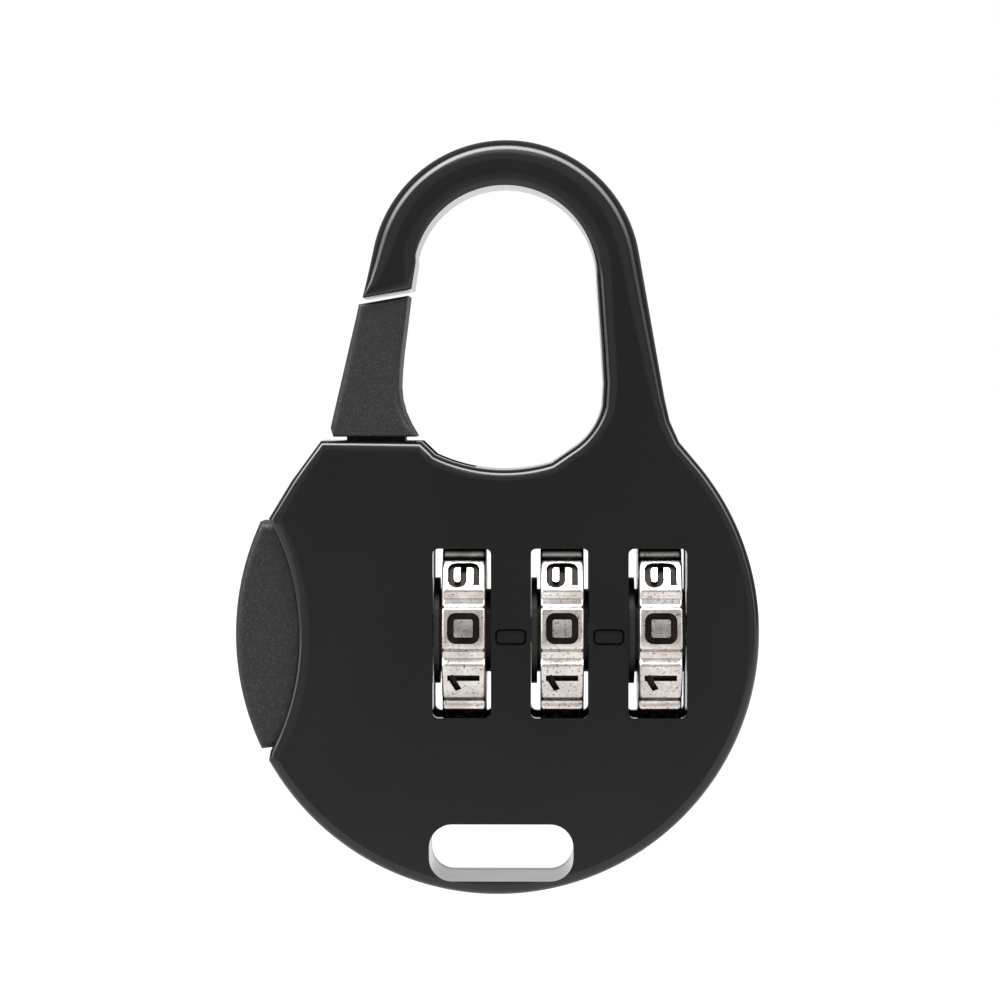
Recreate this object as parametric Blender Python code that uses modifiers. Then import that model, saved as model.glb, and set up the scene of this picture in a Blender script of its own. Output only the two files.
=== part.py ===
"""Combination padlock: fixed hook cast with the body, rocker gate, three number wheels.

Lengths are millimetres from the wheel axis at the middle of the round body, with X to the
right, Z up and the front face towards -Y. place() turns them into metres about the point
where the hook hangs, which is the part's origin.
"""
import bpy
import bmesh
from math import atan2, cos, pi, radians, sin
from mathutils import Matrix, Vector

MM = 0.001
HANG_X, HANG_Z = 0.7, 38.4            # top of the hook's inner loop

BODY_RADIUS = 22.5
FACE_Y = 4.9                          # half the thickness of body and hook
SKIN = 1.0                            # front wall of the hollow body
GAP = 0.3                             # between neighbouring pieces
EDGE_ROUND = 0.9
SHARP_EDGE = 60.0                     # degrees; only edges sharper than this are rounded
PAST_BACK = 5.5                       # Y at which a cutter has cleared the back face

DIAL_PITCH = 8.4
DIAL_CENTRES = [5.37 + DIAL_PITCH * step for step in (-1, 0, 1)]
DIGITS = 10
DIGIT_TILT = 4.5                      # degrees that the read digit stands above the middle
RING_RADIUS = 7.9
RING_WIDTH = 3.72
RING_BORE = 3.9
RING_SHIFT = 0.2                      # ring's middle to the right of its window's
GROOVE_WIDTH = 1.0
GROOVE_DEPTH = 0.35

WINDOW_WIDTH = 5.0
WINDOW_HALF_HEIGHT = 7.27
WELL_MARGIN = 0.1                     # each side of the well stands back from the window's edge
WHEEL_WELL_BOTTOM = -9.6
WHEEL_WELL_TOP = 8.3

SLEEVE_RADIUS = 3.6
SLEEVE_HALF_LENGTH = 2.45
SLEEVE_FLANGE = 4.6                   # radius of the flange that closes the well on the left
SLEEVE_BORE = 2.6
COLLAR = (-0.6, 0.2)                  # where the collar starts and ends along the sleeve
KEYWAY_DEPTH = 0.8
CODE_BORE = 1.45                      # the collar that a fin passes only through its notch

SPINDLE_RADIUS = 1.1
SPINDLE_LEFT, SPINDLE_RIGHT = -9.6, 17.5
FIN_TIP = 2.2
CLIP_X = 17.2
CHANNEL_RADIUS = 1.45
SPRING_POCKET_RADIUS = 2.1

LEVER_PIVOT = (-9.8, -11.2)
PIN_RADIUS = 1.0
PIN_HALF_LENGTH = 4.3
WEB_HALF = 2.0
PAD_HALF = 3.6
GATE_HALF = 4.4
LEVER_ROUND = 0.5
LEVER_HUB_RADIUS = 2.2
PIN_BOSS_RADIUS = 2.3
LEVER_SPRING_Z = -4.0

SLOT_MIDDLE = (0.36, -18.85)
SLOT_LENGTH, SLOT_HEIGHT = 12.4, 4.9

RIVETS = [(-7.0, -15.0), (12.6, -13.8), (16.2, 10.2), (0.6, 11.2)]
RIVET_RADIUS = 1.0
RIVET_HEAD = 1.7
WIRE = 0.4                            # thickness of both coil springs' wire


def place(x, y, z):
    return Vector(((x - HANG_X) * MM, y * MM, (z - HANG_Z) * MM))


def clear_scene():
    for old in list(bpy.data.objects):
        bpy.data.objects.remove(old, do_unlink=True)


def new_collection(name):
    collection = bpy.data.collections.new(name)
    bpy.context.scene.collection.children.link(collection)
    return collection


def make_material(name, colour, roughness, metallic):
    material = bpy.data.materials.new(name)
    material.use_nodes = True
    shader = material.node_tree.nodes["Principled BSDF"]
    shader.inputs["Base Color"].default_value = (*colour, 1.0)
    shader.inputs["Roughness"].default_value = roughness
    shader.inputs["Metallic"].default_value = metallic
    return material


clear_scene()
PARTS = new_collection("combination_padlock")
CUTTERS = new_collection("cutters")


def adopt(obj, name, collection, colour=(0.5, 0.5, 0.5), roughness=0.4, metallic=0.0):
    """Names an object, moves it to its collection and, for a part, gives it a material."""
    obj.name = name
    obj.data.name = name
    for holder in list(obj.users_collection):
        holder.objects.unlink(obj)
    collection.objects.link(obj)
    if collection is PARTS:
        obj.data.materials.clear()
        obj.data.materials.append(make_material(name, colour, roughness, metallic))
    else:
        obj.hide_render = True
        obj.display_type = "WIRE"
    return obj


BLACK_PAINT = dict(colour=(0.018, 0.017, 0.016), roughness=0.32, metallic=0.0)
GRAINED_BLACK = dict(colour=(0.045, 0.045, 0.046), roughness=0.8, metallic=0.0)
NICKEL = dict(colour=(0.74, 0.69, 0.65), roughness=0.2, metallic=1.0)
STEEL = dict(colour=(0.55, 0.55, 0.56), roughness=0.3, metallic=1.0)
BLACK_PLASTIC = dict(colour=(0.02, 0.02, 0.02), roughness=0.45, metallic=0.0)


def arc(centre_x, centre_z, radius, start, end, steps):
    """Points on an arc from start to end, in degrees from +X towards +Z."""
    turn = [radians(start + (end - start) * i / steps) for i in range(steps + 1)]
    return [(centre_x + radius * cos(a), centre_z + radius * sin(a)) for a in turn]


def flat_solid(name, points, y_low, y_high, collection, origin=(0.0, 0.0), **finish):
    """A closed outline in the XZ plane, filled and given a thickness along Y."""
    data = bpy.data.curves.new(name, "CURVE")
    data.dimensions = "2D"
    data.fill_mode = "BOTH"
    data.extrude = (y_high - y_low) / 2 * MM
    spline = data.splines.new("POLY")
    spline.points.add(len(points) - 1)
    for point, (x, z) in zip(spline.points, points):
        point.co = ((x - origin[0]) * MM, (z - origin[1]) * MM, 0.0, 1.0)
    spline.use_cyclic_u = True
    curve = bpy.data.objects.new(name, data)
    bpy.context.scene.collection.objects.link(curve)
    bpy.context.view_layer.update()
    mesh = bpy.data.meshes.new_from_object(curve.evaluated_get(bpy.context.evaluated_depsgraph_get()))
    bpy.data.objects.remove(curve, do_unlink=True)
    weld(mesh)
    mesh.transform(Matrix.Rotation(pi / 2, 4, "X"))
    mesh.transform(Matrix.Translation((0.0, (y_low + y_high) / 2 * MM, 0.0)))
    solid = bpy.data.objects.new(name + "_solid", mesh)
    solid.location = place(origin[0], 0.0, origin[1])
    bpy.context.scene.collection.objects.link(solid)
    return adopt(solid, name, collection, **finish)


def weld(mesh):
    """Joins a filled curve's caps to its sides and makes each cap one face."""
    work = bmesh.new()
    work.from_mesh(mesh)
    bmesh.ops.remove_doubles(work, verts=work.verts, dist=0.001 * MM)
    bmesh.ops.dissolve_limit(work, angle_limit=radians(0.5), verts=work.verts, edges=work.edges)
    bmesh.ops.recalc_face_normals(work, faces=work.faces)
    work.to_mesh(mesh)
    work.free()


def box(name, x_range, y_range, z_range, collection=CUTTERS, **finish):
    bpy.ops.mesh.primitive_cube_add(size=1.0)
    obj = bpy.context.object
    ranges = (x_range, y_range, z_range)
    middle = [(low + high) / 2 for low, high in ranges]
    obj.data.transform(Matrix.Diagonal([(high - low) * MM for low, high in ranges] + [1.0]))
    obj.location = place(*middle)
    return adopt(obj, name, collection, **finish)


# An outline drawn as (z, y), with its thickness along Y, turned to lie across X.
AXIS_SWAP = Matrix(((0, 1, 0, 0), (0, 0, 1, 0), (1, 0, 0, 0), (0, 0, 0, 1)))
AXIS_TURN = {"X": Matrix.Rotation(pi / 2, 4, "Y"), "Y": Matrix.Rotation(pi / 2, 4, "X")}


def cylinder(name, axis, radius, span, across, collection=CUTTERS, sides=32, **finish):
    """A cylinder along X or Y. across is its centre on the other two axes, as (y or x, z)."""
    bpy.ops.mesh.primitive_cylinder_add(vertices=sides, radius=radius * MM,
                                        depth=(span[1] - span[0]) * MM)
    obj = bpy.context.object
    obj.data.transform(AXIS_TURN[axis])
    middle = (span[0] + span[1]) / 2
    if axis == "X":
        obj.location = place(middle, across[0], across[1])
    else:
        obj.location = place(across[0], middle, across[1])
    return adopt(obj, name, collection, **finish)


def turned(name, profile, at, sides, collection, closed=True, **finish):
    """A profile of (radius, x) points turned about X by a Screw modifier.

    The profile runs from left to right on the outside, and a closed one comes back
    along the bore.
    """
    data = bpy.data.meshes.new(name)
    corners = [(0.0, radius * MM, x * MM) for radius, x in profile]
    edges = [(i, i + 1) for i in range(len(corners) - 1)]
    if closed:
        edges.append((len(corners) - 1, 0))
    data.from_pydata(corners, edges, [])
    obj = bpy.data.objects.new(name, data)
    data.transform(Matrix(((0, 0, 1, 0), (0, 1, 0, 0), (1, 0, 0, 0), (0, 0, 0, 1))))
    obj.location = place(*at)
    bpy.context.scene.collection.objects.link(obj)
    screw = obj.modifiers.new("turn", "SCREW")
    screw.axis = "X"
    screw.steps = sides
    screw.render_steps = sides
    screw.use_merge_vertices = True
    screw.merge_threshold = 0.00001
    screw.use_normal_calculate = True
    return adopt(obj, name, collection, **finish)


def boolean(obj, cutter, operation="DIFFERENCE"):
    modifier = obj.modifiers.new(cutter.name, "BOOLEAN")
    modifier.operation = operation
    modifier.solver = "EXACT"
    modifier.object = cutter
    return obj


def joined(name, pieces):
    """Several loose cutters as one object."""
    for obj in bpy.context.selected_objects:
        obj.select_set(False)
    for piece in pieces:
        piece.select_set(True)
    bpy.context.view_layer.objects.active = pieces[0]
    bpy.ops.object.join()
    pieces[0].name = name
    return pieces[0]


def round_edges(obj, width, segments):
    bevel = obj.modifiers.new("round", "BEVEL")
    bevel.width = width * MM
    bevel.segments = segments
    bevel.limit_method = "ANGLE"
    bevel.angle_limit = radians(SHARP_EDGE)
    bevel.use_clamp_overlap = False
    return obj


def rounded_box_outline(middle, width, height, corner, steps=4):
    half_w, half_h = width / 2 - corner, height / 2 - corner
    points = []
    for turn, (side_x, side_z) in enumerate(((1, 1), (-1, 1), (-1, -1), (1, -1))):
        points += arc(middle[0] + side_x * half_w, middle[1] + side_z * half_h,
                      corner, 90 * turn, 90 * turn + 90, steps)
    return points


CRESCENT = (-38.8, -0.3, 21.7)        # arc along which the body's face meets the thumb pad
CRESCENT_TOP = (-19.7, 9.75)
CRESCENT_BOTTOM = (-19.5, -10.2)


def angle_on(circle, point):
    return atan2(point[1] - circle[1], point[0] - circle[0]) * 180 / pi


def casting_outline():
    """Round body, neck and hook in one C-shaped line, anticlockwise from the hook's end."""
    hook_end = [(-11.5, 28.75), (-7.32, 29.47)]
    loop = [(-6.95, 31.8)] + arc(0.67, 30.5, 7.87, 166, 0, 20)
    loop += [(8.95, 24.5), (9.12, 21.4)] + arc(3.4, 20.7, 5.75, -12, -55, 5)
    loop += arc(0.6, 28.0, 14.0, -73, -115, 8)
    platform = [(-6.5, 16.45), (-15.1, 16.5), (-17.6, 13.1)]
    crescent = arc(*CRESCENT, angle_on(CRESCENT, CRESCENT_TOP),
                   angle_on(CRESCENT, CRESCENT_BOTTOM), 12)
    start = angle_on((0, 0), CRESCENT_BOTTOM)
    body = arc(0.0, 0.0, BODY_RADIUS, start, 40.5, 64)[1:]
    neck = [(15.6, 16.4), (14.8, 18.2), (14.35, 20.2)]
    hook = arc(0.74, 30.7, 11.6, 9.5, 167, 26)
    return hook_end + loop + platform + crescent + body + neck + hook


# The rear cover ends along this line; above it the casting is solid through.
COVER_REGION = [(-30, 18.5), (1.4, 18.5), (4.6, 12.6), (30, 12.6), (30, -30), (-30, -30)]
SEAT_REGION = [(-30, 18.5), (1.4 + GAP, 18.5), (4.75, 12.9), (30, 12.9), (30, -30), (-30, -30)]


def windows(name, y_low, y_high):
    pieces = []
    for number, x in enumerate(DIAL_CENTRES, 1):
        outline = rounded_box_outline((x, 0.0), WINDOW_WIDTH, 2 * WINDOW_HALF_HEIGHT, 0.5, 3)
        pieces.append(flat_solid(f"{name}_{number}", outline, y_low, y_high, CUTTERS))
    return joined(name, pieces)


def wheel_wells():
    half = WINDOW_WIDTH / 2 + WELL_MARGIN
    pieces = [box(f"well_{number}", (x - half, x + half), (SKIN - FACE_Y, PAST_BACK),
                  (WHEEL_WELL_BOTTOM, WHEEL_WELL_TOP))
              for number, x in enumerate(DIAL_CENTRES, 1)]
    return joined("wheel_wells", pieces)


def lever_cavity():
    outline = [(-25.0, -10.4), (-20.2, -10.45), (-13.6, -12.4)]
    outline += arc(*LEVER_PIVOT, LEVER_HUB_RADIUS + 0.5, 215, 335, 8)
    outline += [(-6.8, -10.8), (-6.8, 9.4), (-13.5, 12.3), (-16.5, 12.1), (-25.0, 9.6)]
    return flat_solid("lever_cavity", outline, SKIN - FACE_Y, PAST_BACK, CUTTERS)


def neck_slot():
    outline = [(-13.4, 9.2), (-6.85, 9.2), (-3.3, 11.4), (-1.9, 14.0), (-1.9, 18.0), (-13.4, 18.0)]
    return flat_solid("neck_slot", outline, -WEB_HALF - GAP, PAST_BACK, CUTTERS)


def saddle(name, radius, x_range):
    """A round-bottomed channel for the spindle or its spring, open to the back."""
    outline = arc(0.0, 0.0, radius, 180, 360, 14) + [(radius, PAST_BACK), (-radius, PAST_BACK)]
    half = (x_range[1] - x_range[0]) / 2
    channel = flat_solid(name, outline, -half, half, CUTTERS)
    channel.data.transform(AXIS_SWAP)
    channel.location = place(x_range[0] + half, 0.0, 0.0)
    return channel


def rivet_holes(name, radius, y_low):
    pieces = [cylinder(f"{name}_{number}", "Y", radius, (y_low, PAST_BACK), spot, sides=24)
              for number, spot in enumerate(RIVETS, 1)]
    return joined(name, pieces)


def lanyard_slot(name):
    outline = rounded_box_outline(SLOT_MIDDLE, SLOT_LENGTH, SLOT_HEIGHT, 2.0, 6)
    return flat_solid(name, outline, -6.0, 6.0, CUTTERS)


def body_casting():
    obj = flat_solid("body_casting", casting_outline(), -FACE_Y, FACE_Y, PARTS, **BLACK_PAINT)
    round_edges(obj, EDGE_ROUND, 3)
    boolean(obj, flat_solid("cover_seat", SEAT_REGION, FACE_Y - SKIN - GAP, 6.0, CUTTERS))
    for cutter in (wheel_wells(), lever_cavity(), neck_slot(),
                   saddle("spindle_channel", CHANNEL_RADIUS, (-8.0, 18.0)),
                   saddle("spring_pocket", SPRING_POCKET_RADIUS, (16.65, 21.2)),
                   windows("front_windows", -6.0, -3.0),
                   lanyard_slot("lanyard_slot"),
                   rivet_holes("rivet_bores", RIVET_RADIUS + 0.2, -1.8)):
        boolean(obj, cutter)
    boss = cylinder("pin_boss", "Y", PIN_BOSS_RADIUS, (-4.4, -WEB_HALF - GAP), LEVER_PIVOT)
    boolean(obj, boss, "UNION")
    boolean(obj, cylinder("pin_bore", "Y", PIN_RADIUS + 0.1, (-4.5, 1.0), LEVER_PIVOT))
    return obj


def rear_cover():
    obj = flat_solid("rear_cover", casting_outline(), -FACE_Y, FACE_Y, PARTS, **BLACK_PAINT)
    round_edges(obj, EDGE_ROUND, 3)
    region = flat_solid("cover_region", COVER_REGION, FACE_Y - SKIN, 6.0, CUTTERS)
    boolean(obj, region, "INTERSECT")
    for cutter in (windows("rear_windows", 3.0, 6.0), lanyard_slot("rear_lanyard_slot"),
                   rivet_holes("rivet_heads_room", RIVET_HEAD + 0.15, 3.0),
                   cylinder("rear_pin_socket", "Y", PIN_RADIUS + 0.1, (3.0, 4.6), LEVER_PIVOT)):
        boolean(obj, cutter)
    return obj


def cover_rivets():
    top = FACE_Y - 0.05
    for number, (x, z) in enumerate(RIVETS, 1):
        head = cylinder(f"cover_rivet_{number}", "Y", RIVET_HEAD, (FACE_Y - SKIN, top), (x, z),
                        PARTS, 24, **BLACK_PAINT)
        shank = cylinder(f"rivet_shank_{number}", "Y", RIVET_RADIUS, (-1.5, 4.2), (x, z), sides=24)
        boolean(head, shank, "UNION")


def gate_lever():
    """Gate, web and thumb pad are one casting that rocks about the lever pin."""
    pivot = LEVER_PIVOT
    web = [(-13.0, 17.6), (-13.0, 11.0), (-16.8, 9.0), (-16.4, -9.4)]
    web += arc(*pivot, LEVER_HUB_RADIUS, 215, 365, 10)
    web += [(-11.4, -6.6), (-12.5, -5.8), (-12.5, -1.6), (-9.9, -0.4), (-9.9, 0.4),
            (-12.5, 1.6), (-13.0, 5.5), (-11.9, 9.0), (-8.9, 13.0), (-7.95, 16.0), (-7.95, 17.6)]
    obj = flat_solid("gate_lever", web[::-1], -WEB_HALF, WEB_HALF, PARTS, pivot, **GRAINED_BLACK)
    outer = (0.5, -0.2, 23.05)
    pad = arc(*outer, angle_on(outer, (-20.05, 9.35)) % 360, angle_on(outer, (-20.1, -9.95)) % 360, 14)
    pad += [(-16.2, -9.6), (-14.8, -5.0), (-14.3, 0.0), (-14.6, 5.0), (-15.8, 9.1)]
    thumb_pad = flat_solid("thumb_pad_blank", pad, -PAD_HALF, PAD_HALF, CUTTERS)
    round_edges(thumb_pad, LEVER_ROUND, 2)
    boolean(obj, thumb_pad, "UNION")
    gate = [(-6.95, 16.85), (-7.45, 17.7), (-8.0, 18.8), (-8.4, 20.9), (-8.3, 22.8), (-7.9, 26.1),
            (-7.6, 28.95), (-11.85, 28.2)]
    gate += arc(-13.6, 17.55, 0.7, 180, 270, 4)
    gate_block = flat_solid("gate_blank", gate, -GATE_HALF, GATE_HALF, CUTTERS)
    round_edges(gate_block, LEVER_ROUND, 2)
    boolean(obj, gate_block, "UNION")
    boolean(obj, cylinder("lever_bore", "Y", PIN_RADIUS + 0.2, (-3.0, 3.0), pivot))
    return obj


def spindle():
    groove = (CLIP_X - 0.5, CLIP_X + 0.05)
    end = SPINDLE_RIGHT
    profile = [(0.0, SPINDLE_LEFT), (SPINDLE_RADIUS - 0.3, SPINDLE_LEFT),
               (SPINDLE_RADIUS, SPINDLE_LEFT + 0.4), (SPINDLE_RADIUS, groove[0]),
               (0.75, groove[0]), (0.75, groove[1] + 0.2), (SPINDLE_RADIUS, groove[1] + 0.2),
               (SPINDLE_RADIUS, end + 0.3), (0.0, end + 0.3)]
    obj = turned("spindle", profile, (0.0, 0.0, 0.0), 24, PARTS, closed=False, **STEEL)
    for number, x in enumerate(DIAL_CENTRES, 1):
        fin = box(f"fin_{number}", (x - 1.55, x - 0.95), (-0.3, 0.3), (0.5, FIN_TIP))
        boolean(obj, fin, "UNION")
    return obj


def spindle_clip():
    inner, outer, half = 0.98, 1.75, 0.2
    middle = CLIP_X - 0.12
    profile = [(inner, middle - half), (outer, middle - half), (outer, middle + half),
               (inner, middle + half)]
    obj = turned("spindle_clip", profile, (0.0, 0.0, 0.0), 24, PARTS, **STEEL)
    boolean(obj, box("clip_mouth", (16.0, 18.5), (0.0, 3.0), (-0.8, 0.8)))
    return obj


def coil(name, x_range, z, radius, turns, per_turn=12, **finish):
    """A helix along X, as a wire that is round in section."""
    data = bpy.data.curves.new(name, "CURVE")
    data.dimensions = "3D"
    data.bevel_depth = WIRE / 2 * MM
    data.bevel_resolution = 2
    data.use_fill_caps = True
    spline = data.splines.new("POLY")
    count = turns * per_turn
    spline.points.add(count)
    start, end = x_range[0] + WIRE / 2, x_range[1] - WIRE / 2
    for i, point in enumerate(spline.points):
        turn = 2 * pi * i / per_turn
        x = start + (end - start) * i / count
        point.co = ((x - start) * MM, radius * cos(turn) * MM, radius * sin(turn) * MM, 1.0)
    obj = bpy.data.objects.new(name, data)
    obj.location = place(start, 0.0, z)
    bpy.context.scene.collection.objects.link(obj)
    return adopt(obj, name, PARTS, **finish)


def number_ring(number, x):
    left, right = -RING_WIDTH / 2, RING_WIDTH / 2
    chamfer = 0.25
    profile = [(RING_BORE, left), (RING_RADIUS - chamfer, left), (RING_RADIUS, left + chamfer),
               (RING_RADIUS, right - chamfer), (RING_RADIUS - chamfer, right), (RING_BORE, right)]
    obj = turned(f"number_ring_{number}", profile, (x + RING_SHIFT, 0.0, 0.0), 80, PARTS, **NICKEL)
    grooves = []
    for digit in range(DIGITS):
        groove = box(f"groove_{number}_{digit}", (x - 3, x + 3.4),
                     (-GROOVE_WIDTH / 2, GROOVE_WIDTH / 2),
                     (RING_RADIUS - GROOVE_DEPTH, RING_RADIUS + 1))
        angle = radians(90 - DIGIT_TILT - 180 / DIGITS - 360 / DIGITS * digit)
        turn = Matrix.Rotation(angle, 4, "X")
        axis = Matrix.Translation(place(x, 0.0, 0.0))
        groove.matrix_world = axis @ turn @ axis.inverted() @ Matrix.Translation(groove.location)
        grooves.append(groove)
    boolean(obj, joined(f"grooves_{number}", grooves))
    boolean(obj, box(f"ring_keyway_{number}", (x - 3, x + 3.4), (-0.9, 0.9),
                     (RING_BORE - 0.9, RING_BORE + KEYWAY_DEPTH)))
    return obj


def code_sleeve(number, x):
    """Turns with its ring; its inner collar lets the spindle's fin by only at one angle."""
    end = SLEEVE_HALF_LENGTH
    flange_end = -end + 0.5
    profile = [(SLEEVE_BORE, -end), (SLEEVE_FLANGE, -end), (SLEEVE_FLANGE, flange_end),
               (SLEEVE_RADIUS, flange_end),
               (SLEEVE_RADIUS, end), (SLEEVE_BORE, end), (SLEEVE_BORE, COLLAR[1]),
               (CODE_BORE, COLLAR[1]), (CODE_BORE, COLLAR[0]), (SLEEVE_BORE, COLLAR[0])]
    obj = turned(f"code_sleeve_{number}", profile, (x, 0.0, 0.0), 40, PARTS, **BLACK_PLASTIC)
    key = box(f"sleeve_key_{number}", (x - 1.2, x + 1.6), (-0.6, 0.6),
              (RING_BORE - 0.7, RING_BORE + KEYWAY_DEPTH - GAP))
    boolean(obj, key, "UNION")
    boolean(obj, box(f"code_notch_{number}", (x - 0.8, x + 0.4), (-0.85, 0.85), (1.0, 2.55)))
    return obj


def detent_spring(number, x):
    """A leaf in the floor of the wheel's well, its bump under a groove of the ring."""
    tilt = radians(DIGIT_TILT)
    bump_y, bump_z = -sin(tilt) * 8.15, -cos(tilt) * 8.15
    floor, leaf = WHEEL_WELL_BOTTOM + GAP, 0.22
    bump = [(bump_y - 1.1, floor + 0.15), (bump_y, bump_z), (bump_y + 1.1, floor + 0.15)]
    upper = [(-3.4, floor + leaf), (bump[0][0], bump[0][1] + leaf), bump[1],
             (bump[2][0], bump[2][1] + leaf), (3.2, floor + leaf)]
    lower = [(y, z - leaf) for y, z in upper]
    obj = flat_solid(f"detent_spring_{number}", (upper + lower[::-1])[::-1], -1.4, 1.4, PARTS, **STEEL)
    obj.data.transform(Matrix.Rotation(pi / 2, 4, "Z"))
    obj.location = place(x + RING_SHIFT, 0.0, 0.0)
    return obj


def main():
    body_casting()
    rear_cover()
    cover_rivets()
    gate_lever()
    cylinder("lever_pin", "Y", PIN_RADIUS, (-PIN_HALF_LENGTH, PIN_HALF_LENGTH), LEVER_PIVOT,
             PARTS, 24, **STEEL)
    coil("lever_spring", (-12.2, -7.1), LEVER_SPRING_Z, 1.3, 4, **STEEL)
    spindle()
    spindle_clip()
    coil("spindle_spring", (SPINDLE_RIGHT + 0.6, 20.9), 0.0, 1.2, 3, **STEEL)
    for number, x in enumerate(DIAL_CENTRES, 1):
        number_ring(number, x)
        code_sleeve(number, x)
        detent_spring(number, x)


main()
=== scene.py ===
"""Looks for the combination padlock: black painted casting, sand-grained gate, nickel wheels.

Lengths are millimetres from the wheel axis at the middle of the round body, as in the part's
own source: X right, Z up, front face towards -Y. at() turns them into the frame's metres.
"""
import bpy
import bmesh
from math import atan2, cos, degrees, hypot, pi, radians, sin
from mathutils import Matrix, Vector


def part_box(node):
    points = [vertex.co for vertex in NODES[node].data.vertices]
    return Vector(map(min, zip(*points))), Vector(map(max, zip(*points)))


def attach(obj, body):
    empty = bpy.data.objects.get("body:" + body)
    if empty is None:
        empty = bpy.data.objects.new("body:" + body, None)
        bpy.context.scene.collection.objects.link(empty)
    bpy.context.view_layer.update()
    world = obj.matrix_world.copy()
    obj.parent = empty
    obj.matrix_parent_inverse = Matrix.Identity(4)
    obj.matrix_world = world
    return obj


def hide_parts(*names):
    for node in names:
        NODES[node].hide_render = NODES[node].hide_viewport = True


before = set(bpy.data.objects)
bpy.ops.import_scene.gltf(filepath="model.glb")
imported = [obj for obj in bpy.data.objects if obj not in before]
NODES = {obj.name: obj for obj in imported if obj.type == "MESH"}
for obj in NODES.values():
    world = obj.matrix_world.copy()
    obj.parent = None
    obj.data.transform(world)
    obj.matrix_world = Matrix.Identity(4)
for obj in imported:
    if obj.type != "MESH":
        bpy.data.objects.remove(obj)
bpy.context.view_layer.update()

MM = 0.001
CASTING_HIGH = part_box("body_casting")[1]
RING_LOW, RING_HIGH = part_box("number_ring_2")
BODY_RADIUS = 22.5
MIDDLE_X = CASTING_HIGH.x / MM - BODY_RADIUS
MIDDLE_Z = (RING_LOW.z + RING_HIGH.z) / 2 / MM
FACE_Y = CASTING_HIGH.y / MM
RING_RADIUS = (RING_HIGH.z - RING_LOW.z) / 2 / MM
RING_WIDTH = (RING_HIGH.x - RING_LOW.x) / MM
RING_CENTRES = [sum(corner.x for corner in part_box(f"number_ring_{k}")) / 2 / MM - MIDDLE_X
                for k in (1, 2, 3)]
RING_SHIFT = 0.2                      # ring's middle to the right of its window's
WINDOW_CENTRES = [x - RING_SHIFT for x in RING_CENTRES]
WINDOW_WIDTH, WINDOW_HALF_HEIGHT = 5.0, 7.27
SKIN = 1.0                            # front wall of the hollow body
LEVER_PIVOT = (-9.8, -11.2)
PAST_FACE = 9.0                       # Y at which a cutter has cleared either face
PAST_BACK = 5.5
GAP = 0.3                             # between neighbouring pieces
WEB_HALF, PAD_HALF, GATE_HALF = 2.0, 3.6, 4.4


def at(x, y, z):
    """A place given in the lock's millimetres, as metres in the frame."""
    return Vector(((x + MIDDLE_X) * MM, y * MM, (z + MIDDLE_Z) * MM))


# ---------------------------------------------------------------- small geometry helpers

def arc(centre_x, centre_z, radius, start, end, steps):
    turn = [radians(start + (end - start) * i / steps) for i in range(steps + 1)]
    return [(centre_x + radius * cos(a), centre_z + radius * sin(a)) for a in turn]


def angle_on(circle, point):
    return degrees(atan2(point[1] - circle[1], point[0] - circle[0]))


def rounded_box_outline(middle, width, height, corner, steps=8):
    half_w, half_h = width / 2 - corner, height / 2 - corner
    points = []
    for turn, (side_x, side_z) in enumerate(((1, 1), (-1, 1), (-1, -1), (1, -1))):
        points += arc(middle[0] + side_x * half_w, middle[1] + side_z * half_h,
                      corner, 90 * turn, 90 * turn + 90, steps)
    return points


def link(obj):
    bpy.context.scene.collection.objects.link(obj)
    return obj


def object_from(work, name):
    mesh = bpy.data.meshes.new(name)
    work.to_mesh(mesh)
    work.free()
    return link(bpy.data.objects.new(name, mesh))


def prism(name, near, far):
    """A solid between two closed outlines that have as many points, given as (x, y, z)."""
    work = bmesh.new()
    start = [work.verts.new(at(*spot)) for spot in near]
    end = [work.verts.new(at(*spot)) for spot in far]
    work.faces.new(start)
    work.faces.new(end[::-1])
    for i in range(len(near)):
        j = (i + 1) % len(near)
        work.faces.new((start[j], start[i], end[i], end[j]))
    bmesh.ops.recalc_face_normals(work, faces=work.faces)
    return object_from(work, name)


def slab(name, points, y_low, y_high):
    """A closed outline in the XZ plane as a solid with one face at each end."""
    return prism(name, [(x, y_low, z) for x, z in points], [(x, y_high, z) for x, z in points])


def tube_between(name, radius, start, end, sides=48):
    """A cylinder from one place to another, as a cutter or a plain pin."""
    a, b = at(*start), at(*end)
    work = bmesh.new()
    bmesh.ops.create_cone(work, cap_ends=True, segments=sides, radius1=radius * MM,
                          radius2=radius * MM, depth=(b - a).length)
    obj = object_from(work, name)
    turn = Vector((0, 0, 1)).rotation_difference((b - a).normalized())
    obj.data.transform(Matrix.Translation((a + b) / 2) @ turn.to_matrix().to_4x4())
    return obj


def block(name, low, high):
    work = bmesh.new()
    bmesh.ops.create_cube(work, size=1.0)
    obj = object_from(work, name)
    a, b = at(*low), at(*high)
    obj.data.transform(Matrix.Translation((a + b) / 2) @ Matrix.Diagonal([*(b - a), 1.0]))
    return obj


def apply_modifiers(obj):
    """Replaces the mesh by its evaluated self."""
    bpy.context.view_layer.update()
    graph = bpy.context.evaluated_depsgraph_get()
    mesh = bpy.data.meshes.new_from_object(obj.evaluated_get(graph))
    obj.modifiers.clear()
    obj.data = mesh
    return obj


def combine(obj, cutters, operation="DIFFERENCE", transfer=False):
    """Cuts obj with each cutter, or joins them to it, and removes the cutters."""
    for cutter in cutters:
        modifier = obj.modifiers.new("cut", "BOOLEAN")
        modifier.operation = operation
        modifier.solver = "EXACT"
        modifier.object = cutter
        modifier.use_self = transfer
        if transfer:
            modifier.material_mode = "TRANSFER"
    apply_modifiers(obj)
    for cutter in cutters:
        bpy.data.objects.remove(cutter, do_unlink=True)
    return obj


def unit(x, z):
    length = hypot(x, z) or 1.0
    return x / length, z / length


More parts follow.
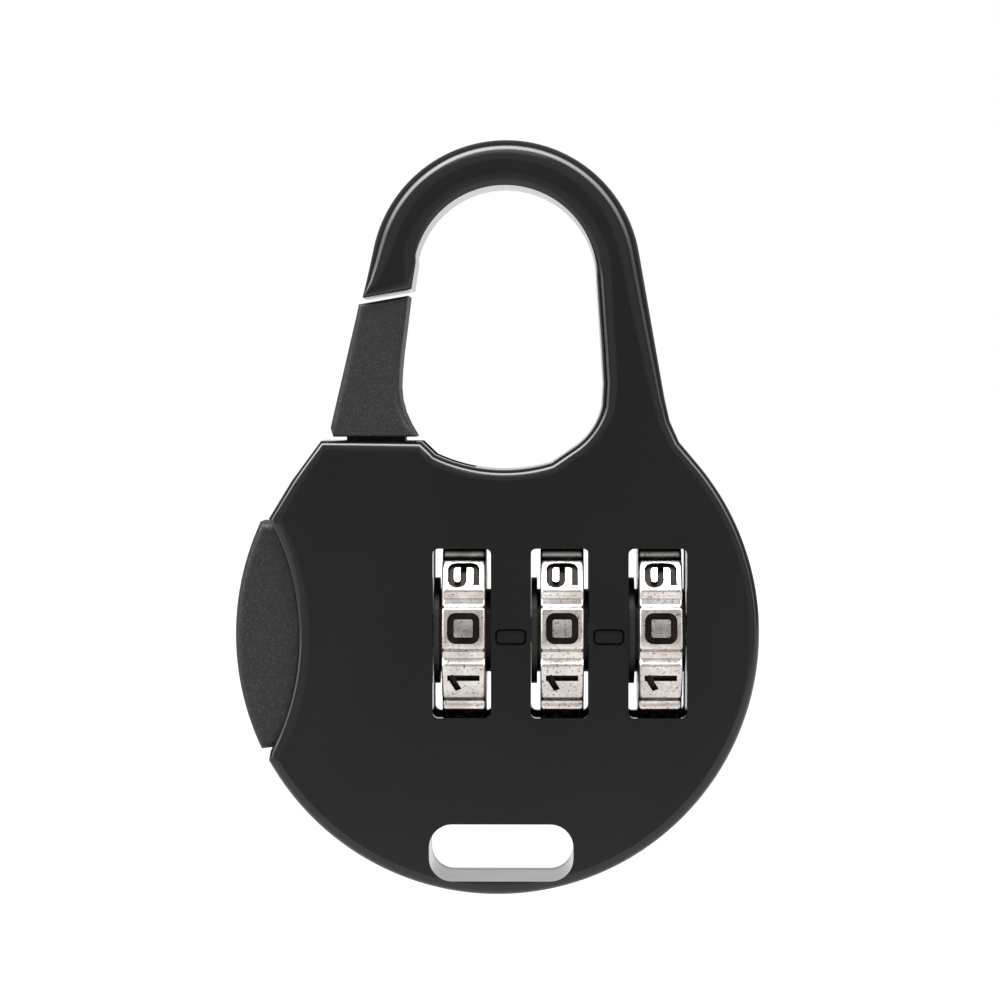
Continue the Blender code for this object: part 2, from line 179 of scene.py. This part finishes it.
def rounded_slab(name, points, y_half, rounding_at, steps=10, easing=4):
    """A slab whose face edges are rounded by rounding_at(x, z), eased between neighbours.

    rounding_at gives how far in from the outline the rounding reaches and how far down from
    the face. Each outline point sends rings in and up along a quarter of that ellipse.
    """
    count = len(points)
    area = sum(x0 * z1 - x1 * z0 for (x0, z0), (x1, z1) in zip(points, points[1:] + points[:1]))
    if area < 0:
        points = points[::-1]
    reaches, drops = zip(*[rounding_at(x, z) for x, z in points])
    for _ in range(easing):
        reaches, drops = [[min(r, (values[i - 1] + r + values[(i + 1) % count]) / 3 + 0.02)
                           for i, r in enumerate(values)] for values in (reaches, drops)]
    inward = []
    for i, (x, z) in enumerate(points):
        (xa, za), (xb, zb) = points[i - 1], points[(i + 1) % count]
        before, after = unit(x - xa, z - za), unit(xb - x, zb - z)
        normal = unit(-before[1] - after[1], before[0] + after[0])
        miter = 1 / max(0.5, -normal[0] * before[1] + normal[1] * before[0])
        inward.append((normal[0] * miter, normal[1] * miter))
    work = bmesh.new()
    rings = []
    for side in (-1, 1):
        turns = [pi / 2 * k / steps for k in range(steps + 1)]
        for turn in (turns[::-1] if side < 0 else turns):
            ring = []
            for (x, z), (nx, nz), reach, drop in zip(points, inward, reaches, drops):
                inset = reach * (1 - cos(turn))
                y = side * (y_half - drop * (1 - sin(turn)))
                ring.append(work.verts.new(at(x + nx * inset, y, z + nz * inset)))
            rings.append(ring)
    work.faces.new(rings[0])
    work.faces.new(rings[-1][::-1])
    for ring, following in zip(rings, rings[1:]):
        for i in range(count):
            j = (i + 1) % count
            work.faces.new((ring[i], ring[j], following[j], following[i]))
    bmesh.ops.recalc_face_normals(work, faces=work.faces)
    return object_from(work, name)


def smooth(obj, angle=35.0):
    """Smooth shading that keeps flat faces flat and edges sharper than angle crisp."""
    mesh = obj.data
    mesh.polygons.foreach_set("use_smooth", [True] * len(mesh.polygons))
    work = bmesh.new()
    work.from_mesh(mesh)
    for edge in work.edges:
        faces = edge.link_faces
        sharp = len(faces) == 2 and faces[0].normal.angle(faces[1].normal, 0.0) > radians(angle)
        edge.smooth = not sharp
    work.to_mesh(mesh)
    work.free()
    weighted = obj.modifiers.new("weighted", "WEIGHTED_NORMAL")
    weighted.keep_sharp = True
    return obj


# ---------------------------------------------------------------- materials

def new_material(name):
    material = bpy.data.materials.new(name)
    material.use_nodes = True
    nodes = material.node_tree.nodes
    return material, nodes, material.node_tree.links, nodes["Principled BSDF"]


def node(nodes, kind, **inputs):
    made = nodes.new(kind)
    for key, value in inputs.items():
        made.inputs[key.replace("_", " ")].default_value = value
    return made


def object_coordinates(nodes):
    return nodes.new("ShaderNodeTexCoord").outputs["Object"]


def noise(nodes, links, scale, detail=4.0, roughness=0.5):
    made = node(nodes, "ShaderNodeTexNoise", Scale=scale, Detail=detail, Roughness=roughness)
    links.new(object_coordinates(nodes), made.inputs["Vector"])
    return made.outputs["Fac"]


def ramp(nodes, links, source, low, high, at_low=0.0, at_high=1.0):
    made = nodes.new("ShaderNodeValToRGB")
    made.color_ramp.elements[0].position = at_low
    made.color_ramp.elements[1].position = at_high
    made.color_ramp.elements[0].color = (*low, 1.0)
    made.color_ramp.elements[1].color = (*high, 1.0)
    links.new(source, made.inputs["Fac"])
    return made.outputs["Color"]


def ranged(nodes, links, source, low, high):
    made = node(nodes, "ShaderNodeMapRange", To_Min=low, To_Max=high)
    links.new(source, made.inputs["Value"])
    return made.outputs["Result"]


def bump(nodes, links, height, strength, distance, under=None):
    made = node(nodes, "ShaderNodeBump", Strength=strength, Distance=distance)
    links.new(height, made.inputs["Height"])
    if under is not None:
        links.new(under, made.inputs["Normal"])
    return made.outputs["Normal"]


def black_paint():
    """Satin-gloss paint over a die casting: faint orange peel, fine grain and uneven gloss."""
    material, nodes, links, shader = new_material("black_paint")
    cloud = noise(nodes, links, 90.0, 3.0)
    links.new(ramp(nodes, links, cloud, (0.0022, 0.0021, 0.002), (0.005, 0.0047, 0.0044)),
              shader.inputs["Base Color"])
    links.new(ranged(nodes, links, noise(nodes, links, 160.0), 0.13, 0.2),
              shader.inputs["Roughness"])
    peel = bump(nodes, links, noise(nodes, links, 1100.0, 2.0), 0.05, 0.00004)
    links.new(bump(nodes, links, noise(nodes, links, 6000.0, 2.0), 0.03, 0.00001, peel),
              shader.inputs["Normal"])
    return material


def grained_black():
    """Matt paint on a sand-textured casting, with pale speckle painted into its colour as glints where the
    grains catch light.
    """
    material, nodes, links, shader = new_material("grained_black")
    grain = noise(nodes, links, 3600.0, 5.0, 0.65)
    painted_glint_speckle = noise(nodes, links, 5200.0, 2.0, 0.5)
    # painted glints: random pale speckle in the base colour stands in for light caught by the grains
    links.new(ramp(nodes, links, painted_glint_speckle, (0.004, 0.004, 0.0042), (0.03, 0.03, 0.032), 0.5, 0.8),
              shader.inputs["Base Color"])
    links.new(ranged(nodes, links, grain, 0.42, 0.62), shader.inputs["Roughness"])
    coarse = bump(nodes, links, noise(nodes, links, 2300.0, 2.0), 0.35, 0.00012)
    links.new(bump(nodes, links, grain, 0.6, 0.0001, coarse), shader.inputs["Normal"])
    return material


def nickel():
    """Bright plating with a warm tint, hazed, finely pitted and dulled by small dark specks."""
    material, nodes, links, shader = new_material("nickel")
    shader.inputs["Metallic"].default_value = 1.0
    haze = ramp(nodes, links, noise(nodes, links, 520.0), (0.52, 0.475, 0.44), (0.84, 0.8, 0.76), 0.3, 0.75)
    specks = ramp(nodes, links, noise(nodes, links, 4200.0, 5.0, 0.7), (0.25, 0.22, 0.2), (1, 1, 1),
                  0.36, 0.44)
    tone = nodes.new("ShaderNodeMix")
    tone.data_type = "RGBA"
    tone.blend_type = "MULTIPLY"
    tone.inputs["Factor"].default_value = 1.0
    links.new(haze, tone.inputs["A"])
    links.new(specks, tone.inputs["B"])
    links.new(tone.outputs["Result"], shader.inputs["Base Color"])
    links.new(ranged(nodes, links, noise(nodes, links, 900.0), 0.12, 0.34),
              shader.inputs["Roughness"])
    links.new(bump(nodes, links, noise(nodes, links, 1500.0, 5.0), 0.22, 0.00006),
              shader.inputs["Normal"])
    return material


def digit_fill():
    """Black paint, brown where it is thin, lying in the engraved digits."""
    material, nodes, links, shader = new_material("digit_fill")
    links.new(ramp(nodes, links, noise(nodes, links, 900.0), (0.003, 0.002, 0.0015),
                   (0.03, 0.014, 0.007), 0.45, 0.75), shader.inputs["Base Color"])
    shader.inputs["Roughness"].default_value = 0.6
    shader.inputs["Specular IOR Level"].default_value = 0.25
    links.new(bump(nodes, links, noise(nodes, links, 2500.0), 0.3, 0.00005),
              shader.inputs["Normal"])
    return material


def plain_metal(name, low, high, rough_low, rough_high):
    """A turned or drawn metal with fine tool marks."""
    material, nodes, links, shader = new_material(name)
    shader.inputs["Metallic"].default_value = 1.0
    links.new(ramp(nodes, links, noise(nodes, links, 700.0), low, high),
              shader.inputs["Base Color"])
    links.new(ranged(nodes, links, noise(nodes, links, 1200.0), rough_low, rough_high),
              shader.inputs["Roughness"])
    links.new(bump(nodes, links, noise(nodes, links, 3000.0), 0.1, 0.00003),
              shader.inputs["Normal"])
    return material


def black_plastic():
    """Moulded acetal, slightly mottled."""
    material, nodes, links, shader = new_material("black_plastic")
    links.new(ramp(nodes, links, noise(nodes, links, 500.0), (0.004, 0.004, 0.004),
                   (0.012, 0.012, 0.012)), shader.inputs["Base Color"])
    shader.inputs["Roughness"].default_value = 0.5
    links.new(bump(nodes, links, noise(nodes, links, 2500.0), 0.2, 0.00004),
              shader.inputs["Normal"])
    return material


BLACK = black_paint()
GRAINED = grained_black()
NICKEL = nickel()
FILL = digit_fill()
STEEL = plain_metal("steel", (0.42, 0.42, 0.43), (0.6, 0.6, 0.62), 0.25, 0.4)
HUB = black_plastic()


def dress(obj, material, body, slot, *nodes):
    obj.data.materials.clear()
    obj.data.materials.append(material)
    return place_piece(obj, body, slot, *nodes)


def place_piece(obj, body, slot, *nodes):
    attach(obj, body)
    if nodes:
        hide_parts(*nodes)
    return obj


# ---------------------------------------------------------------- casting and cover

CRESCENT = (-38.8, -0.3, 21.7)
CRESCENT_TOP = (-19.7, 9.75)
CRESCENT_BOTTOM = (-19.5, -10.2)


def casting_outline():
    hook_end = [(-10.85, 31.9), (-11.2, 30.2), (-11.42, 29.15), (-11.5, 28.75), (-7.32, 29.47)]
    loop = [(-6.95, 31.8)] + arc(0.67, 30.5, 7.87, 166, 0, 60)
    loop += [(8.95, 24.5), (9.12, 21.4)] + arc(3.4, 20.7, 5.75, -12, -55, 14)
    loop += arc(0.6, 28.0, 14.0, -73, -115, 24)
    platform = [(-6.5, 16.45), (-15.1, 16.5), (-17.6, 13.1)]
    crescent = arc(*CRESCENT, angle_on(CRESCENT, CRESCENT_TOP),
                   angle_on(CRESCENT, CRESCENT_BOTTOM), 25)
    start = angle_on((0, 0), CRESCENT_BOTTOM)
    body = arc(0.0, 0.0, BODY_RADIUS, start, 40.5, 120)[1:]
    neck = [(15.6, 16.4), (14.8, 18.2), (14.35, 20.2), (13.6, 24.5), (12.9, 28.5)]
    hook = arc(0.74, 30.7, 11.6, 9.5, 167, 60)
    return loop + platform + crescent + body + neck + hook + hook_end


def blend_between(low, high, value):
    part = min(1.0, max(0.0, (value - low) / (high - low)))
    return part * part * (3 - 2 * part)


def casting_rounding(x, z):
    """Generous on the outside of the hook, a shallow crown inside it, tighter on the body."""
    height_in_loop = z - min(max(z, 22.0), 30.5)
    if hypot(x - 0.9, height_in_loop) < 9.4 and z > 13.0:
        low = 1 - blend_between(17.0, 21.0, z)
        right = blend_between(3.0, 7.5, x) * (1 - blend_between(28.0, 36.0, z)) * (1 - low)
        crown = 1 - low - right
        return (0.95 * low + 1.3 * right + 1.5 * crown, 0.95 * low + 1.3 * right + 0.36 * crown)
    if 28.0 < z < 29.6 and x < -6.0:
        return 0.35, 0.35
    if x < -6.0 and 15.5 < z < 17.2:
        return 0.8, 0.8
    if abs(hypot(x - CRESCENT[0], z - CRESCENT[1]) - CRESCENT[2]) < 0.05:
        return 1.1, 0.7
    outside = 0.9 + 0.9 * blend_between(14.0, 33.0, z)
    return outside, outside


def windows(y_low, y_high):
    return [slab("window", rounded_box_outline((x, 0.0), WINDOW_WIDTH, 2 * WINDOW_HALF_HEIGHT, 0.5),
                 y_low, y_high) for x in WINDOW_CENTRES]


def lanyard_slot():
    outline = rounded_box_outline((0.36, -18.85), 12.4, 4.9, 2.0, 12)
    return slab("lanyard", outline, -PAST_FACE, PAST_FACE)


COVER_REGION = [(-30, 18.5), (1.4, 18.5), (4.6, 12.6), (30, 12.6), (30, -30), (-30, -30)]
SEAT_REGION = [(-30, 18.5), (1.7, 18.5), (4.75, 12.9), (30, 12.9), (30, -30), (-30, -30)]
RIVETS = [(-7.0, -15.0), (12.6, -13.8), (16.2, 10.2), (0.6, 11.2)]
RIVET_ROOM = 1.85                     # radius of the hole round each rivet's head


def rounded_blank(name):
    return rounded_slab(name, casting_outline(), FACE_Y, casting_rounding)


MARK_LONG, MARK_HIGH, MARK_Z = 2.35, 1.05, -0.31
MARK_DEPTH, MARK_SLOPE = 0.24, 0.17


def index_marks():
    """Outlined dashes between the windows, pressed into the front face with steep sides."""
    marks = []
    for left, right in zip(WINDOW_CENTRES, WINDOW_CENTRES[1:]):
        middle = ((left + right) / 2, MARK_Z)

        def outline(grow, corner, y):
            flat = rounded_box_outline(middle, MARK_LONG + 2 * grow, MARK_HIGH + 2 * grow, corner, 6)
            return [(x, y, z) for x, z in flat]

        groove = prism("mark", outline(MARK_SLOPE + 0.7, 0.9, -FACE_Y - 1.0),
                       outline(0.0, 0.34, -FACE_Y + MARK_DEPTH))
        core = prism("mark_core", outline(-0.4, 0.08, -FACE_Y - 2.0),
                     outline(-0.2, 0.14, -FACE_Y + MARK_DEPTH + 0.2))
        combine(groove, [core])
        marks.append(groove)
    return marks


def channel(radius, x_low, x_high):
    """A round-bottomed groove along X, open to the back, as a cutter."""
    profile = arc(0.0, 0.0, radius, 90, 270, 20) + [(PAST_BACK, -radius), (PAST_BACK, radius)]
    return prism("channel", [(x_low, y, z) for y, z in profile], [(x_high, y, z) for y, z in profile])


def lever_cavity():
    outline = [(-25.0, -10.4), (-20.2, -10.45), (-13.6, -12.4)]
    outline += arc(*LEVER_PIVOT, 2.7, 215, 335, 16)
    outline += [(-6.8, -10.8), (-6.8, 9.4), (-13.5, 12.3), (-16.5, 12.1), (-25.0, 9.6)]
    return slab("lever_cavity", outline, SKIN - FACE_Y, PAST_BACK)


def neck_slot():
    outline = [(-13.4, 9.2), (-6.85, 9.2), (-3.3, 11.4), (-1.9, 14.0), (-1.9, 18.0), (-13.4, 18.0)]
    return slab("neck_slot", outline, -WEB_HALF - GAP, PAST_BACK)


def wheel_wells():
    half = WINDOW_WIDTH / 2 + 0.1
    return [block("well", (x - half, SKIN - FACE_Y, -9.6), (x + half, PAST_BACK, 8.3))
            for x in WINDOW_CENTRES]


def casting():
    obj = rounded_blank("casting")
    seat = slab("seat", SEAT_REGION, FACE_Y - SKIN - GAP, PAST_FACE)
    cutters = [seat, lever_cavity(), neck_slot(), channel(1.45, -8.0, 18.0),
               channel(2.1, 16.65, 21.2), lanyard_slot()]
    cutters += wheel_wells() + windows(-PAST_FACE, -3.0) + index_marks()
    combine(obj, cutters)
    smooth(obj)
    return dress(obj, BLACK, "lock_body", "black_paint", "body_casting")


def rear_plate():
    obj = rounded_blank("rear_plate")
    combine(obj, [slab("region", COVER_REGION, FACE_Y - SKIN, PAST_FACE)], "INTERSECT")
    holes = [tube_between("rivet_room", RIVET_ROOM, (x, 3.0, z), (x, PAST_FACE, z)) for x, z in RIVETS]
    combine(obj, windows(3.0, PAST_FACE) + [lanyard_slot()] + holes)
    smooth(obj)
    return dress(obj, BLACK, "lock_body", "black_paint", "rear_cover")


# ---------------------------------------------------------------- gate, web and thumb pad

def gate_outline():
    inner_side = [(-6.95, 16.85), (-7.5, 17.8), (-8.0, 18.9), (-8.3, 20.0), (-8.4, 21.1),
                  (-8.35, 22.4), (-8.2, 24.0), (-7.9, 26.4), (-7.6, 28.95)]
    outer_side = [(-11.85, 28.2), (-12.1, 27.1), (-14.1, 18.5), (-14.3, 17.6), (-14.05, 16.85)]
    return inner_side + outer_side


def gate_rounding(x, z):
    """Rounded down its sides and left almost square at both ends."""
    radius = 0.25 if z < 17.0 else 0.4 if z > 28.0 else 0.8
    return radius, radius


def gate_lever():
    pivot = LEVER_PIVOT
    web = [(-13.0, 17.6), (-13.0, 11.0), (-16.8, 9.0), (-16.4, -9.4)]
    web += arc(*pivot, 2.2, 215, 365, 20)
    web += [(-11.4, -6.6), (-12.5, -5.8), (-12.5, -1.6), (-9.9, -0.4), (-9.9, 0.4), (-12.5, 1.6),
            (-13.0, 5.5), (-11.9, 9.0), (-8.9, 13.0), (-7.95, 16.0), (-7.95, 17.6)]
    obj = slab("gate", web, -WEB_HALF, WEB_HALF)
    outer = (0.5, -0.2, 23.05)
    pad = arc(*outer, angle_on(outer, (-20.05, 9.35)) % 360, angle_on(outer, (-20.1, -9.95)) % 360, 26)
    pad += [(-16.2, -9.6), (-14.8, -5.0), (-14.3, 0.0), (-14.6, 5.0), (-15.8, 9.1)]
    thumb_pad = rounded_slab("thumb_pad", pad, PAD_HALF, lambda x, z: (0.7, 0.7), 6)
    gate = rounded_slab("gate_blank", gate_outline(), GATE_HALF, gate_rounding, 6)
    combine(obj, [thumb_pad, gate], "UNION")
    combine(obj, [tube_between("bore", 1.2, (pivot[0], -3.0, pivot[1]), (pivot[0], 3.0, pivot[1]))])
    smooth(obj)
    return dress(obj, GRAINED, "lever", "grained_black", "gate_lever")


# ---------------------------------------------------------------- number wheels

DIGIT_TILT = 4.5                      # degrees that the read digit stands above the middle
DIGIT_HIGH, DIGIT_WIDE = 2.75, 2.65   # on the wheel: along X, and round the rim
STROKE = 0.56                         # width of a digit's line
DIGIT_DEPTH = 0.42
VALLEY_DEPTH = 0.5                    # between one pad and the next
WHEEL_BORE, WHEEL_STEPS, WHEEL_CORNER = 3.9, 600, 0.32


def digit_strokes():
    """Each digit's pen lines on a box from -1 to 1, upright; closed lines repeat their start."""
    ring = rounded_box_outline((0.0, 0.0), 2.0, 2.0, 0.42, 5)
    ring = ring + ring[:1]
    return {
        0: [ring],
        1: [[(0.5, 1), (0.5, -1)], [(0.5, 0.95), (-0.45, 0.5)]],
        2: [[(-1, 0.55), (-0.6, 1), (0.6, 1), (1, 0.6), (1, 0.3), (-1, -1), (1, -1)]],
        3: [[(-1, 1), (0.6, 1), (1, 0.6), (0.7, 0.05), (1, -0.5), (0.6, -1), (-1, -1)],
            [(-0.3, 0.05), (0.7, 0.05)]],
        4: [[(0.5, -1), (0.5, 1), (-1, -0.4), (1, -0.4)]],
        5: [[(0.9, 1), (-0.9, 1), (-0.9, 0.1), (0.6, 0.1), (1, -0.3), (1, -0.6), (0.6, -1), (-1, -1)]],
        6: [[(0.9, 1), (-0.6, 1), (-1, 0.6), (-1, -0.6), (-0.6, -1), (0.6, -1), (1, -0.6),
             (1, -0.2), (0.6, 0.1), (-1, 0.1)]],
        7: [[(-1, 1), (1, 1), (-0.2, -1)]],
        8: [ring, [(-1, 0), (1, 0)]],
        9: [[(-0.8, -1), (0.6, -1), (0.9, -0.85), (1, -0.6), (1, 0.6), (0.9, 0.85), (0.6, 1), (-0.6, 1),
             (-0.9, 0.85), (-1, 0.6), (-1, 0.35), (-0.85, 0.1), (-0.6, 0), (1, 0)]],
    }


def stroke_cutter(name, line):
    """A pen line as a bar of the stroke's width, laid at the front of the wheel."""
    closed = line[0] == line[-1]
    if closed:
        line = line[:-1]
    half_x, half_z = (DIGIT_HIGH - STROKE) / 2, (DIGIT_WIDE - STROKE) / 2
    # Upright digits lie on their left side: their tops point to -X.
    spots = [Vector((-up * half_x, across * half_z)) for across, up in line]
    if not closed:
        spots[0] += (spots[0] - spots[1]).normalized() * STROKE / 2
        spots[-1] += (spots[-1] - spots[-2]).normalized() * STROKE / 2
    work = bmesh.new()
    bottom, top = [[work.verts.new((x * MM, -(RING_RADIUS + rise) * MM, z * MM)) for x, z in spots]
                   for rise in (-DIGIT_DEPTH, 0.6)]
    for i in range(len(spots) - (0 if closed else 1)):
        j = (i + 1) % len(spots)
        work.faces.new((bottom[i], bottom[j], top[j], top[i]))
    obj = object_from(work, name)
    solid = obj.modifiers.new("width", "SOLIDIFY")
    solid.thickness = STROKE * MM
    solid.offset = 0.0
    solid.use_even_offset = True
    return apply_modifiers(obj)


def digit_cutters():
    cutters = []
    for digit, lines in digit_strokes().items():
        angle = radians(DIGIT_TILT - 36.0 * digit)
        for line in lines:
            cutter = stroke_cutter(f"digit_{digit}", line)
            cutter.data.transform(Matrix.Rotation(-angle, 4, "X"))
            cutter.data.materials.append(FILL)
            cutters.append(cutter)
    return cutters


def rim_radius(angle):
    """The wheel's radius: ten raised pads with rounded valleys between them, in mm."""
    pitch = 36.0
    from_pad = abs((degrees(angle) - DIGIT_TILT + pitch / 2) % pitch - pitch / 2)
    from_valley = (pitch / 2 - from_pad) * radians(1) * RING_RADIUS
    return RING_RADIUS - VALLEY_DEPTH * (1 - blend_between(0.25, 0.85, from_valley))


def wheel_mesh():
    """One number wheel about the origin, front at -Y, with its digits cut in."""
    half, corner = RING_WIDTH / 2, WHEEL_CORNER
    shoulder = [(half - corner + corner * sin(a), -corner + corner * cos(a))
                for a in [pi / 2 * i / 4 for i in range(5)]]
    section = [(-x, drop) for x, drop in shoulder[::-1]] + shoulder
    work = bmesh.new()
    rows = []
    for i in range(WHEEL_STEPS):
        angle = 2 * pi * i / WHEEL_STEPS
        outer = rim_radius(angle)
        radii = [(x, outer + drop) for x, drop in section]
        radii = [(-half, WHEEL_BORE)] + radii + [(half, WHEEL_BORE)]
        rows.append([work.verts.new((x * MM, -r * cos(angle) * MM, r * sin(angle) * MM))
                     for x, r in radii])
    for row, following in zip(rows, rows[1:] + rows[:1]):
        for i in range(len(row)):
            j = (i + 1) % len(row)
            work.faces.new((row[i], row[j], following[j], following[i]))
    bmesh.ops.recalc_face_normals(work, faces=work.faces)
    wheel = object_from(work, "wheel")
    wheel.data.materials.append(NICKEL)
    combine(wheel, digit_cutters(), transfer=True)
    return wheel


def number_wheels():
    master = wheel_mesh()
    for number, x in enumerate(RING_CENTRES, 1):
        wheel = link(bpy.data.objects.new(f"number_wheel_{number}", master.data.copy()))
        wheel.data.transform(Matrix.Translation(at(x, 0.0, 0.0)))
        smooth(wheel, 50.0)
        place_piece(wheel, f"dial_{number}", "nickel", f"number_ring_{number}")
    bpy.data.objects.remove(master, do_unlink=True)


# ---------------------------------------------------------------- what stays from the CAD

def dress_cad_nodes():
    finishes = {"cover_rivet": BLACK, "lever_pin": STEEL, "lever_spring": STEEL, "spindle": STEEL,
                "code_sleeve": HUB, "detent_spring": STEEL}
    for name, obj in NODES.items():
        for start, material in finishes.items():
            if name.startswith(start):
                obj.data.materials.clear()
                obj.data.materials.append(material)


# ---------------------------------------------------------------- stage, light and camera

# How bright the studio is at each angle from straight in front of the lock, in degrees: dim where
# the camera stands, brighter round it, dim again, dark where the softboxes are added, a dim back
# and a bright patch straight behind.
SURROUND = [(0, 0.26), (4, 0.32), (6.5, 0.5), (12, 0.62), (50, 0.66), (57, 0.35), (65, 0.3),
            (69, 0.0), (88, 0.0), (93, 0.16), (120, 0.3), (165, 0.35), (172, 1.0)]
SOFTBOX_RING = [(65, 0.0), (69, 1.0), (86, 1.0), (91, 0.0)]


def level_ramp(nodes, links, source, table):
    """Brightness looked up by angle from the front, where source is 0 in front, 1 behind."""
    made = nodes.new("ShaderNodeValToRGB")
    links.new(source, made.inputs["Fac"])
    stops = made.color_ramp.elements
    for stop, (angle, level) in zip((stops[0], stops[1]), (table[0], table[-1])):
        stop.position = (1 - cos(radians(angle))) / 2
        stop.color = (level, level, level, 1)
    for angle, level in table[1:-1]:
        stops.new((1 - cos(radians(angle))) / 2).color = (level, level, level, 1)
    return made.outputs["Color"]


def world_light():
    """White to the camera; to the object, a studio of screens and softboxes."""
    world = bpy.data.worlds.new("studio")
    bpy.context.scene.world = world
    world.use_nodes = True
    nodes, links = world.node_tree.nodes, world.node_tree.links
    nodes.clear()
    split = nodes.new("ShaderNodeSeparateXYZ")
    links.new(nodes.new("ShaderNodeTexCoord").outputs["Generated"], split.inputs[0])
    depth = node(nodes, "ShaderNodeMapRange", From_Min=-1.0, From_Max=1.0)
    links.new(split.outputs["Y"], depth.inputs["Value"])
    surround = level_ramp(nodes, links, depth.outputs["Result"], SURROUND)
    ring = level_ramp(nodes, links, depth.outputs["Result"], SOFTBOX_RING)
    above = node(nodes, "ShaderNodeMapRange", From_Min=0.25, From_Max=0.95, To_Min=2.4, To_Max=15.0)
    links.new(split.outputs["Z"], above.inputs["Value"])
    sideways = node(nodes, "ShaderNodeMapRange", From_Min=-1.0, From_Max=1.0, To_Min=1.3, To_Max=0.7)
    links.new(split.outputs["X"], sideways.inputs["Value"])
    strength = nodes.new("ShaderNodeMath")
    strength.operation = "MULTIPLY"
    links.new(above.outputs["Result"], strength.inputs[0])
    links.new(sideways.outputs["Result"], strength.inputs[1])
    screens = node(nodes, "ShaderNodeBackground", Strength=1.0)
    links.new(surround, screens.inputs["Color"])
    boxes = nodes.new("ShaderNodeBackground")
    links.new(ring, boxes.inputs["Color"])
    links.new(strength.outputs["Value"], boxes.inputs["Strength"])
    both = nodes.new("ShaderNodeAddShader")
    links.new(screens.outputs[0], both.inputs[0])
    links.new(boxes.outputs[0], both.inputs[1])
    white = node(nodes, "ShaderNodeBackground", Strength=1.0)
    white.inputs["Color"].default_value = (1, 1, 1, 1)
    mix = nodes.new("ShaderNodeMixShader")
    links.new(nodes.new("ShaderNodeLightPath").outputs["Is Camera Ray"], mix.inputs["Fac"])
    links.new(both.outputs[0], mix.inputs[1])
    links.new(white.outputs[0], mix.inputs[2])
    links.new(mix.outputs[0], nodes.new("ShaderNodeOutputWorld").inputs["Surface"])


def softbox(name, place, size_x, size_y, power, colour=(1, 1, 1)):
    data = bpy.data.lights.new(name, "AREA")
    data.shape = "RECTANGLE"
    data.size, data.size_y = size_x * MM, size_y * MM
    data.energy = power
    data.color = colour
    light = link(bpy.data.objects.new(name, data))
    light.location = at(*place)
    aim = at(0.0, 0.0, 10.0) - light.location
    light.rotation_euler = aim.to_track_quat("-Z", "Y").to_euler()
    return light


def studio():
    world_light()
    softbox("softbox_top", (-60, -160, 300), 300, 100, 0.12, (1.0, 0.98, 0.96))
    floor = block("floor", (-1500.0, -250.0, -62.0), (1500.0, 2000.0, -60.0))
    material, nodes, links, shader = new_material("pale_floor")
    shader.inputs["Base Color"].default_value = (0.06, 0.06, 0.06, 1)
    shader.inputs["Roughness"].default_value = 1.0
    shader.inputs["Specular IOR Level"].default_value = 0.0
    shader.inputs["Emission Color"].default_value = (1, 1, 1, 1)
    shader.inputs["Emission Strength"].default_value = 1.0
    floor.data.materials.append(material)


VIEW_DISTANCE = 330.0                 # from the front face
VIEW_X, VIEW_Z = 4.5, 20.6            # where the camera stands, level with this point
LENS = 138.9
AIM = (0.26, -4.9, 11.45)


def camera():
    data = bpy.data.cameras.new("camera")
    data.lens = LENS
    data.sensor_width = 36.0
    data.clip_start, data.clip_end = 0.01, 10.0
    eye = link(bpy.data.objects.new("camera", data))
    eye.location = at(VIEW_X, -FACE_Y - VIEW_DISTANCE, VIEW_Z)
    eye.rotation_euler = (at(*AIM) - eye.location).to_track_quat("-Z", "Y").to_euler()
    bpy.context.scene.camera = eye
    bpy.context.scene.view_settings.view_transform = "Standard"


casting()
rear_plate()
gate_lever()
number_wheels()
dress_cad_nodes()
studio()
camera()
